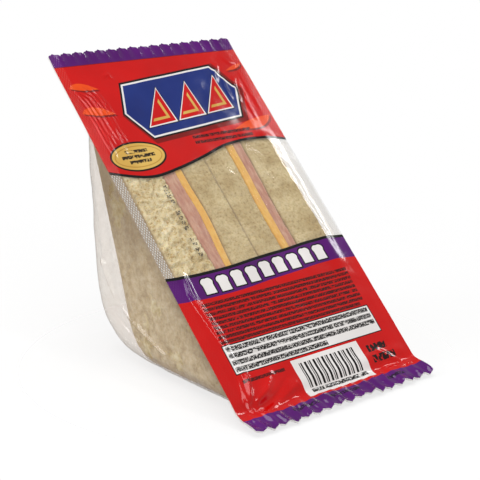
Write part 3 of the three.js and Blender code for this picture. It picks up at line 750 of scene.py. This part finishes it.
def toothed(edge, tip, uneven):
    """One zigzag end of the film: rounded teeth, each with a small point."""
    x = np.linspace(-HALF_WIDTH, HALF_WIDTH, TEETH * TOOTH_POINTS + 1)
    at = (x + HALF_WIDTH) * TEETH / (2 * HALF_WIDTH)
    across = 2 * (at % 1) - 1
    tall = 1 - uneven * draw.random(TEETH + 1)[np.minimum(at.astype(int), TEETH - 1)]
    crown = 0.66 * np.sqrt(np.maximum(0, 1 - across**2))
    crown += 0.34 * np.maximum(0, 1 - 3 * np.abs(across))
    out = abs(tip - edge) - TOOTH_DEPTH * (1 - crown * tall)
    return np.column_stack([x, edge + math.copysign(1, tip - edge) * out])


head_teeth = toothed(0.0, HEAD_TIP, 0.12)
foot_teeth = toothed(FOOT_EDGE, FOOT_TIP, 0.6)
sheet_outline = np.concatenate([head_teeth, foot_teeth[::-1]])


def inside_of(outline, places):
    """Which places lie inside a closed outline."""
    found = np.zeros(len(places), bool)
    low, high = outline.min(axis=0), outline.max(axis=0)
    near = np.nonzero(((places >= low) & (places <= high)).all(axis=1))[0]
    x, y = places[near].T
    hit = np.zeros(len(near), bool)
    for (x1, y1), (x2, y2) in zip(outline, np.roll(outline, -1, axis=0)):
        if y1 != y2:
            crosses = (y1 > y) != (y2 > y)
            hit ^= crosses & (x < (x2 - x1) * (y - y1) / (y2 - y1) + x1)
    found[near] = hit
    return found


def cut_sheet(outlines, spacing):
    """Meshes the whole sheet so that its edges follow every outline: points and triangles."""
    points, edges = [], []
    for outline in outlines:
        first = len(points)
        for start, end in zip(outline, np.roll(outline, -1, axis=0)):
            steps = max(1, math.ceil(np.hypot(*(end - start)) / (EDGE_STEP * spacing)))
            for k in range(steps):
                points.append(start + (end - start) * k / steps)
        count = len(points) - first
        edges += [(first + k, first + (k + 1) % count) for k in range(count)]
    for j, down in enumerate(np.arange(HEAD_TIP, FOOT_TIP, spacing * ROW_STEP)):
        for x in np.arange(-HALF_WIDTH + (j % 2) * spacing / 2, HALF_WIDTH, spacing):
            points.append(np.array([x, down]) + draw.uniform(-JITTER, JITTER, 2) * spacing)
    flat_points = [Vector(point.tolist()) for point in points]
    made, _, triangles, *_ = delaunay_2d_cdt(flat_points, edges, [], 0, 1e-5)
    places = np.array([tuple(point) for point in made])
    triangles = np.array(triangles)
    keep = inside_of(outlines[0], places[triangles].mean(axis=1))
    return places, triangles[keep]


def sheet_mesh(name, places, triangles, depth):
    """The sheet in its place in the pack, with a UV map of metres across and down."""
    used, faces = np.unique(triangles, return_inverse=True)
    faces = faces.reshape(-1, 3)[:, ::-1]
    x, down = places[used].T
    points = on_film(x, down, depth - lift(x, down))
    points[:, 2] = np.maximum(points[:, 2], TABLE_GAP)
    mesh = bpy.data.meshes.new(name)
    mesh.from_pydata((points / 1000).tolist(), [], faces.tolist())
    uv = places[used][faces].reshape(-1, 2) / 1000
    mesh.uv_layers.new(name="sheet").data.foreach_set("uv", uv.ravel())
    return mesh


places, triangles = cut_sheet([sheet_outline, mouth_loop], FLANGE_SPACING)
around = ~inside_of(mouth_loop, places[triangles].mean(axis=1))
mesh = sheet_mesh("flange", places, triangles[around], FLANGE_DEPTH)
finish_piece("pocket_flange", mesh, [pocket_film], "clear_film", "formed_pocket")


# The lidding film
# One flexible film, reverse printed in glossy inks and sealed to the flange with a knurled
# die. The sandwich shows in its clear window. The print is plain shapes and unreadable marks.
SEAL = 4.3
INNER = HALF_WIDTH - SEAL
KNURL_PITCH = 0.95
KNURL_ANGLE = 0.55
LINE = 0.8
EDGE_LINE = 1.2
FILM_SPACING = 0.55

# The bands of a wave of scale 1 lie this many metres apart
WAVE_PITCH = 0.314


def film_relief(tree, strength, in_ink=True):
    """The place on the sheet, the seals' knurl, which fades down the inks, and a bump with wrinkles."""
    sheet = node(tree, "ShaderNodeUVMap", {"uv_map": "sheet"}, {}).outputs[0]
    parts = node(tree, "ShaderNodeSeparateXYZ", {}, {"Vector": sheet})
    edge = node(tree, "ShaderNodeMath", {"operation": "ABSOLUTE"}, {0: parts.outputs[0]})
    sealed = node(
        tree, "ShaderNodeMapRange", {"interpolation_type": "SMOOTHSTEP"},
        {"Value": edge.outputs[0], "From Min": (INNER - 0.2) / 1000, "From Max": (INNER + 0.4) / 1000},
    )
    waves = []
    for angle in (KNURL_ANGLE, -KNURL_ANGLE):
        turned = node(tree, "ShaderNodeMapping", {}, {"Vector": sheet, "Rotation": (0.0, 0.0, angle)})
        waves.append(
            node(
                tree, "ShaderNodeTexWave", {"bands_direction": "X"},
                {
                    "Vector": turned.outputs[0],
                    "Scale": per_mm(KNURL_PITCH) * WAVE_PITCH,
                    "Distortion": 0.4,
                },
            )
        )
    lattice = node(
        tree, "ShaderNodeMath", {"operation": "MULTIPLY"},
        {0: waves[0].outputs["Fac"], 1: waves[1].outputs["Fac"]},
    )
    knurl = node(
        tree, "ShaderNodeMath", {"operation": "MULTIPLY"}, {0: lattice.outputs[0], 1: sealed.outputs[0]}
    )
    pressed = node(
        tree, "ShaderNodeMapRange", {"interpolation_type": "SMOOTHSTEP"},
        {"Value": parts.outputs[1], "From Min": 0.03, "From Max": 0.12, "To Min": 0.5, "To Max": 0.06},
    )
    faint = node(
        tree, "ShaderNodeMath", {"operation": "MULTIPLY"}, {0: knurl.outputs[0], 1: pressed.outputs[0]}
    )
    fine = node(
        tree, "ShaderNodeTexNoise", {},
        {"Vector": sheet, "Scale": per_mm(9.0), "Detail": 3.0, "Roughness": 0.45, "Distortion": 0.8},
    )
    shown = faint if in_ink else knurl
    height = node(
        tree, "ShaderNodeMath", {"operation": "ADD"}, {0: fine.outputs["Fac"], 1: shown.outputs[0]}
    )
    bump = node(
        tree, "ShaderNodeBump", {},
        {"Height": height.outputs[0], "Strength": strength, "Distance": 0.0004},
    )
    return sheet, shown.outputs[0], bump.outputs[0]


def inked(tree, colour, normal):
    """Ink of a colour under the film, with the film's own gloss over it."""
    surface = node(
        tree, "ShaderNodeBsdfPrincipled", {},
        {
            "Base Color": colour, "Roughness": 0.4, "Specular IOR Level": 0.0, "Coat Weight": 1.0,
            "Coat Roughness": 0.14, "Coat IOR": 1.5, "Normal": normal, "Coat Normal": normal,
        },
    )
    node(tree, "ShaderNodeOutputMaterial", {}, {"Surface": surface.outputs[0]})


def ink(name, shade, deeper, pale):
    """A flat printed ink, slightly uneven, between two shades; pale is the knurl's colour."""
    material, tree = new_material(name)
    sheet, knurl, normal = film_relief(tree, 0.3)
    uneven = node(
        tree, "ShaderNodeTexNoise", {},
        {"Vector": sheet, "Scale": per_mm(18), "Detail": 2.0, "Roughness": 0.5},
    )
    tone = node(
        tree, "ShaderNodeValToRGB", {"stops": [(0.35, linear(deeper)), (0.65, linear(shade))]},
        {"Fac": uneven.outputs["Fac"]},
    )
    pressed = node(
        tree, "ShaderNodeMix", {"data_type": "RGBA"}, {0: knurl, 6: tone.outputs[0], 7: linear(pale)}
    )
    inked(tree, pressed.outputs[2], normal)
    return material


def small_print(name, ground, letters, size, pitch):
    """Rows of unreadable small marks, in words, on a ground of another ink."""
    material, tree = new_material(name)
    sheet, _, normal = film_relief(tree, 0.3)
    stroke_place = node(
        tree, "ShaderNodeMapping", {},
        {"Vector": sheet, "Scale": (per_mm(size * 0.42), per_mm(size * 0.75), 1.0)},
    )
    strokes = node(
        tree, "ShaderNodeTexNoise", {},
        {"Vector": stroke_place.outputs[0], "Scale": 1.0, "Detail": 1.0, "Roughness": 0.4},
    )
    word_place = node(
        tree, "ShaderNodeMapping", {},
        {"Vector": sheet, "Scale": (per_mm(size * 2.2), per_mm(pitch), 1.0)},
    )
    words = node(
        tree, "ShaderNodeTexNoise", {},
        {"Vector": word_place.outputs[0], "Scale": 1.0, "Detail": 1.0, "Roughness": 0.6},
    )
    marked = node(
        tree, "ShaderNodeValToRGB", {"stops": [(0.38, grey(0.0)), (0.47, grey(1.0))]},
        {"Fac": strokes.outputs["Fac"]},
    )
    spaced = node(
        tree, "ShaderNodeValToRGB", {"stops": [(0.34, grey(0.0)), (0.38, grey(1.0))]},
        {"Fac": words.outputs["Fac"]},
    )
    both = node(
        tree, "ShaderNodeMath", {"operation": "MULTIPLY"}, {0: marked.outputs[0], 1: spaced.outputs[0]}
    )
    tone = node(
        tree, "ShaderNodeMix", {"data_type": "RGBA"},
        {0: both.outputs[0], 6: linear(ground), 7: linear(letters)},
    )
    inked(tree, tone.outputs[2], normal)
    return material


def knurled_seal(name):
    """The sealed strip beside the window: clear film pressed into a pale lattice."""
    material, tree = new_material(name)
    _, knurl, normal = film_relief(tree, 1.0, in_ink=False)
    through = node(tree, "ShaderNodeBsdfTransparent", {}, {"Color": grey(0.94)})
    pale = node(
        tree, "ShaderNodeBsdfPrincipled", {},
        {"Base Color": linear("#E9E6E2"), "Roughness": 0.25, "Normal": normal},
    )
    share = node(
        tree, "ShaderNodeMapRange", {},
        {"Value": knurl, "From Min": 0.1, "From Max": 0.5, "To Min": 0.1, "To Max": 0.95},
    )
    surface = node(
        tree, "ShaderNodeMixShader", {},
        {0: share.outputs[0], 1: through.outputs[0], 2: pale.outputs[0]},
    )
    node(tree, "ShaderNodeOutputMaterial", {}, {"Surface": surface.outputs[0]})
    return material


inks = {
    "clear": clear_film("clear window film", "#E8E2DA", 0.05, 0.1, 0.25, 9.0),
    "knurl": knurled_seal("knurled clear seal"),
    "red": ink("red ink under film", "#C90503", "#BE0403", "#E06058"),
    "purple": ink("purple ink under film", "#56096E", "#4A055F", "#8A5AA0"),
    "black": ink("black ink under film", "#060506", "#030303", "#3A3438"),
    "white": ink("white ink under film", "#E9E5E3", "#E0DCDA", "#EDEAE8"),
    "blue": ink("blue ink under film", "#182E78", "#12266C", "#4A5C94"),
    "gold": ink("gold ink under film", "#D9B45E", "#C99E48", "#E4CB8A"),
    "gold_rim": ink("dark gold ink under film", "#B98A38", "#A77A2E", "#C79F55"),
    "orange": ink("orange ink under film", "#E84E0C", "#DC3F08", "#EE8055"),
    "dark_red": ink("dark red ink under film", "#840806", "#740505", "#A8403C"),
    "grey": ink("grey date stamp ink", "#4A4441", "#3F3A38", "#5A5452"),
    "small_red": small_print("small print on red", "#A60A08", "#3C0A0A", 0.85, 2.1),
    "small_white": small_print("small print on white", "#CFCBC8", "#1A1718", 0.95, 2.8),
    "large_gold": small_print("small print on gold", "#D3AE5E", "#2B1F10", 1.5, 2.3),
    "small_purple": small_print("small print on purple", "#52086A", "#22062C", 1.3, 3.0),
    "large_red": small_print("larger print on red", "#C40503", "#1C0405", 2.4, 4.6),
}
ink_names = list(inks)
fields = []


def field(name, outline):
    """A field of the print. Later fields lie over earlier ones."""
    fields.append((ink_names.index(name), np.asarray(outline, float)))


def between(above, below):
    return np.concatenate([above, below[::-1]])


def box_of(left, right, top, foot):
    return [(left, top), (right, top), (right, foot), (left, foot)]


def grown(outline, by):
    """An outline moved outwards all round by a line's width."""
    outline = np.asarray(outline, float)
    after = np.roll(outline, -1, axis=0)
    area = np.sum(outline[:, 0] * after[:, 1] - after[:, 0] * outline[:, 1])
    run = after - outline
    run /= np.hypot(*run.T)[:, None]
    side = np.column_stack([run[:, 1], -run[:, 0]]) * math.copysign(1, area)
    before = np.roll(side, 1, axis=0)
    mean = side + before
    mean /= np.maximum(np.sum(mean * side, axis=1), 0.5)[:, None]
    return outline + mean * by


def oval(cx, cy, length, height):
    angles = np.linspace(0, 2 * math.pi, 56, endpoint=False)
    return np.column_stack([cx + length / 2 * np.cos(angles), cy + height / 2 * np.sin(angles)])


stations = np.array([-HALF_WIDTH, *np.linspace(-INNER, INNER, 7), HALF_WIDTH])
fine_x = np.linspace(-HALF_WIDTH, HALF_WIDTH, 91)


def curved_row(down, rises):
    """A smooth curved edge across the film, through its height at each station."""
    slopes = np.gradient(rises, stations)
    at = np.clip(np.searchsorted(stations, fine_x, side="right") - 1, 0, len(stations) - 2)
    run = stations[at + 1] - stations[at]
    t = (fine_x - stations[at]) / run
    rises = np.array(rises)
    curve = (1 + 2 * t) * (1 - t) ** 2 * rises[at] + t**2 * (3 - 2 * t) * rises[at + 1]
    curve += run * (t * (1 - t) ** 2 * slopes[at] - t**2 * (1 - t) * slopes[at + 1])
    return np.column_stack([fine_x, down + curve])


HEADER_FOOT = 50.0
HEADER_RISES = [0, 1.4, 4.5, 2.8, -0.4, -4.1, -5.1, -3.4, -2.2]
BAND_TOP = FOOT_EDGE - 59.4
BAND_HEIGHT = 10.0
BAND_RISES = [0, 0.4, 0.9, 0.7, -0.3, -0.9, -1.8, -1.4, -0.9]


def print_rows(name, spans, top, pitch, height):
    """Rows of marks one under another, each from the left to the right end of its span."""
    for k, (left, right) in enumerate(spans):
        row = top + pitch * k
        field(name, box_of(left, right, row, row + height))


# The purple head strip, and the red header down to its curved black edge
STRIP_LINE = 0.35
field("red", sheet_outline)
strip_foot = np.column_stack([fine_x, np.zeros(len(fine_x))])
field("purple", between(head_teeth, strip_foot))
field("dark_red", between(strip_foot, strip_foot + [0, STRIP_LINE]))

# The header's orange rays, each a curved leaf from its tip to its root, with a dark edge
RAYS = (
    ((-43.2, 10.5), (-30.5, 12.2), 2.6),
    ((-43.2, 22.5), (-28.5, 24.5), 3.0),
    ((43.6, 35.0), (22.5, 39.4), 3.6),
    ((44.0, 7.5), (34.5, 10.5), 1.4),
)
RAY_EDGE = [0.5, 0.9]
for tip, root, bulge in RAYS:
    tip, root = np.array(tip), np.array(root)
    run = root - tip
    side = np.array([-run[1], run[0]]) / np.hypot(*run)
    share = np.linspace(0, 1, 14)[:, None]
    upper = tip + run * share + side * bulge * 0.35 * np.sin(math.pi * share)
    lower = tip + run * share - side * bulge * np.sin(math.pi * share**0.7)
    leaf = between(upper, lower[1:-1])
    field("dark_red", leaf + RAY_EDGE)
    field("orange", leaf)

# The banner: white and black lines round a blue hexagon, with three red wedges on it
BANNER_PLACE = np.array([5.0, 22.5])
BANNER_TILT = math.radians(-5)
BANNER_END, BANNER_CORNER, BANNER_SIDE = 29, 23, 12.5
BANNER_SHADOW = [0.8, 0.8]
WEDGE = np.array([(-6.5, 8.0), (6.5, 8.0), (6.5, -8.0)])
WEDGE_PITCH = 15.4
WEDGE_CRUST = np.array([(4.7, 6.2), (4.7, -3.4), (3.5, -2.0), (3.5, 5.0), (-2.9, 5.0), (-4.0, 6.2)])
cosine, sine = math.cos(BANNER_TILT), math.sin(BANNER_TILT)
turn = np.array([[cosine, sine], [-sine, cosine]])
upper = [(-BANNER_END, 0), (-BANNER_CORNER, -BANNER_SIDE), (BANNER_CORNER, -BANNER_SIDE)]
lower = [(BANNER_END, 0), (BANNER_CORNER, BANNER_SIDE), (-BANNER_CORNER, BANNER_SIDE)]
banner = np.array(upper + lower) @ turn + BANNER_PLACE
field("dark_red", grown(banner, 3.4 * LINE) + BANNER_SHADOW)
field("black", grown(banner, 2 * LINE))
field("white", grown(banner, LINE))
field("blue", banner)
for i in (-1, 0, 1):
    along = [i * WEDGE_PITCH, 0]
    wedge = (WEDGE + along) @ turn + BANNER_PLACE
    field("black", grown(wedge, 1.3 * LINE))
    field("white", grown(wedge, 0.8 * LINE))
    field("red", wedge)
    field("gold", (WEDGE_CRUST + along) @ turn + BANNER_PLACE)

# The gold seal with its fine rim, and two lines of small print
OVAL_LENGTH, OVAL_HEIGHT = 24, 12
oval_x, oval_down = -HALF_WIDTH + SEAL + OVAL_LENGTH / 2, HEADER_FOOT - 5.2
for name, more in (("black", 2 * LINE), ("gold", 0), ("gold_rim", -2.2), ("gold", -3.0)):
    field(name, oval(oval_x, oval_down, OVAL_LENGTH + more, OVAL_HEIGHT + more))
spans = [(oval_x - half, oval_x + half) for half in (5.2, 7.6, 5.0)]
print_rows("large_gold", spans, oval_down - 3.1, 2.3, 1.5)
print_rows("small_red", [(0, 30)] * 2, HEADER_FOOT - 10.5, 2.6, 1.4)

# The window between two black edges, with the knurled seal on both sides
STRIP_OVERLAP = 0.5
window_top = curved_row(HEADER_FOOT + EDGE_LINE / 2, HEADER_RISES)
window_foot = curved_row(BAND_TOP - EDGE_LINE / 2, BAND_RISES)
field("clear", between(window_top, window_foot))
for strip in (fine_x <= -INNER + STRIP_OVERLAP, fine_x >= INNER - STRIP_OVERLAP):
    field("knurl", between(window_top[strip], window_foot[strip]))
field("black", between(curved_row(HEADER_FOOT - EDGE_LINE / 2, HEADER_RISES), window_top))

# The date stamp: three groups of jetted dots, in clusters that run down the film and say nothing
STAMP_X, STAMP_DOWN = -25.7, 9
GROUPS, GROUP_PITCH = 3, 12
CLUSTERS, CLUSTER_PITCH = 4, 2.3
DOTS, DOTS_ACROSS, DOT_SHARE = 12, 4, 0.62
for group in range(GROUPS):
    for cluster in range(CLUSTERS):
        top = HEADER_FOOT + STAMP_DOWN + GROUP_PITCH * group + CLUSTER_PITCH * cluster
        for dot in range(DOTS):
            if draw.random() < DOT_SHARE:
                x = STAMP_X + 0.5 * (dot % DOTS_ACROSS)
                y = top + 0.55 * (dot // DOTS_ACROSS)
                field("grey", box_of(x, x + 0.42, y, y + 0.46))

# The purple band, with a row of white bread slices
SLICES = 9
SLICE_PITCH = 7.2
SLICE_LINE = 0.55
band_foot = curved_row(BAND_TOP + BAND_HEIGHT, BAND_RISES)
field("purple", between(window_foot, band_foot))
field("black", between(window_foot, curved_row(BAND_TOP + EDGE_LINE / 2, BAND_RISES)))
band_line = curved_row(BAND_TOP + (BAND_HEIGHT + LINE / 2) / 2, BAND_RISES)
angles = np.radians(np.linspace(180, 0, 15))
dip = 0.35 * np.exp(-((np.cos(angles) / 0.3) ** 2))
crown = np.column_stack([2.75 * np.cos(angles), dip - 1.55 - 1.9 * np.sin(angles)])
white_slice = np.concatenate([crown, [(2.35, -0.4), (2.4, 3.3), (-2.4, 3.3), (-2.35, -0.4)]])
for k in range(SLICES):
    x = (k - SLICES // 2) * SLICE_PITCH
    y = np.interp(x, fine_x, band_line[:, 1]) + 0.25 * math.sin(2.4 * k)
    field("black", grown(white_slice + [x, y], SLICE_LINE))
    field("white", white_slice + [x, y])

# The block of small print and the white box
TEXT_MARGIN = 8
left, right = -HALF_WIDTH + TEXT_MARGIN, HALF_WIDTH - TEXT_MARGIN
spans = [(left + 0.6, right - 0.4)] * 8 + [(left + 0.6, right - 3.0)]
print_rows("small_red", spans, FOOT_EDGE - 46.8, 1.95, 1.3)
BOX_TOP = FOOT_EDGE - 29.4
BOX_HEIGHT = 12
BOX_LINE = 0.4
field("black", box_of(left, right, BOX_TOP, BOX_TOP + BOX_HEIGHT))
inner_foot = BOX_TOP + BOX_HEIGHT - BOX_LINE
field("white", box_of(left + BOX_LINE, right - BOX_LINE, BOX_TOP + BOX_LINE, inner_foot))
spans = [(left + 1.0, right - 1.2)] * 3 + [(left + 1.0, right - 28)]
print_rows("small_white", spans, BOX_TOP + 0.9, 2.75, 1.9)

# The bar panel and the lines beside it
PANEL_TOP = FOOT_EDGE - 16.6
PANEL_LEFT, PANEL_RIGHT = -12, 22
BARS_LEFT, BARS_RIGHT = -9.0, 19
BAR_UNIT = 0.36
field("white", box_of(PANEL_LEFT, PANEL_RIGHT, PANEL_TOP, CREASE_DOWN + 4.0))
bar_left = BARS_LEFT
k = 0
while bar_left < BARS_RIGHT:
    width = BAR_UNIT * (1 + (7 * k) % 3)
    field("black", box_of(bar_left, bar_left + width, PANEL_TOP + 1.8, CREASE_DOWN + 0.6))
    bar_left += width + BAR_UNIT * (1 + (5 * k) % 3)
    k += 1
field("small_white", box_of(BARS_LEFT, BARS_RIGHT + 0.5, CREASE_DOWN + 1.1, CREASE_DOWN + 2.7))
print_rows("large_red", [(25, 35), (25, 37)], PANEL_TOP + 3, 4.6, 3)
field("small_red", box_of(-36, -16, PANEL_TOP + 1.6, PANEL_TOP + 2.9))

# The purple foot strip
crease_row = np.column_stack([fine_x, FOOT_EDGE + 0.3 * np.sin(fine_x / 6)])
field("purple", between(crease_row, foot_teeth))
for left, right in ((-24, -11), (-6, 9), (24, 33)):
    field("small_purple", box_of(left, right, FOOT_EDGE + 1.6, FOOT_EDGE + 3.2))

places, triangles = cut_sheet([outline for _, outline in fields], FILM_SPACING)
mesh = sheet_mesh("lidding film", places, triangles, 0.0)
middles = places[triangles].mean(axis=1)
printed = np.zeros(len(triangles), int)
for index, outline in fields:
    printed[inside_of(outline, middles)] = index
mesh.polygons.foreach_set("material_index", printed)
finish_piece("printed_film", mesh, list(inks.values()), "printed_film", "lidding_film")
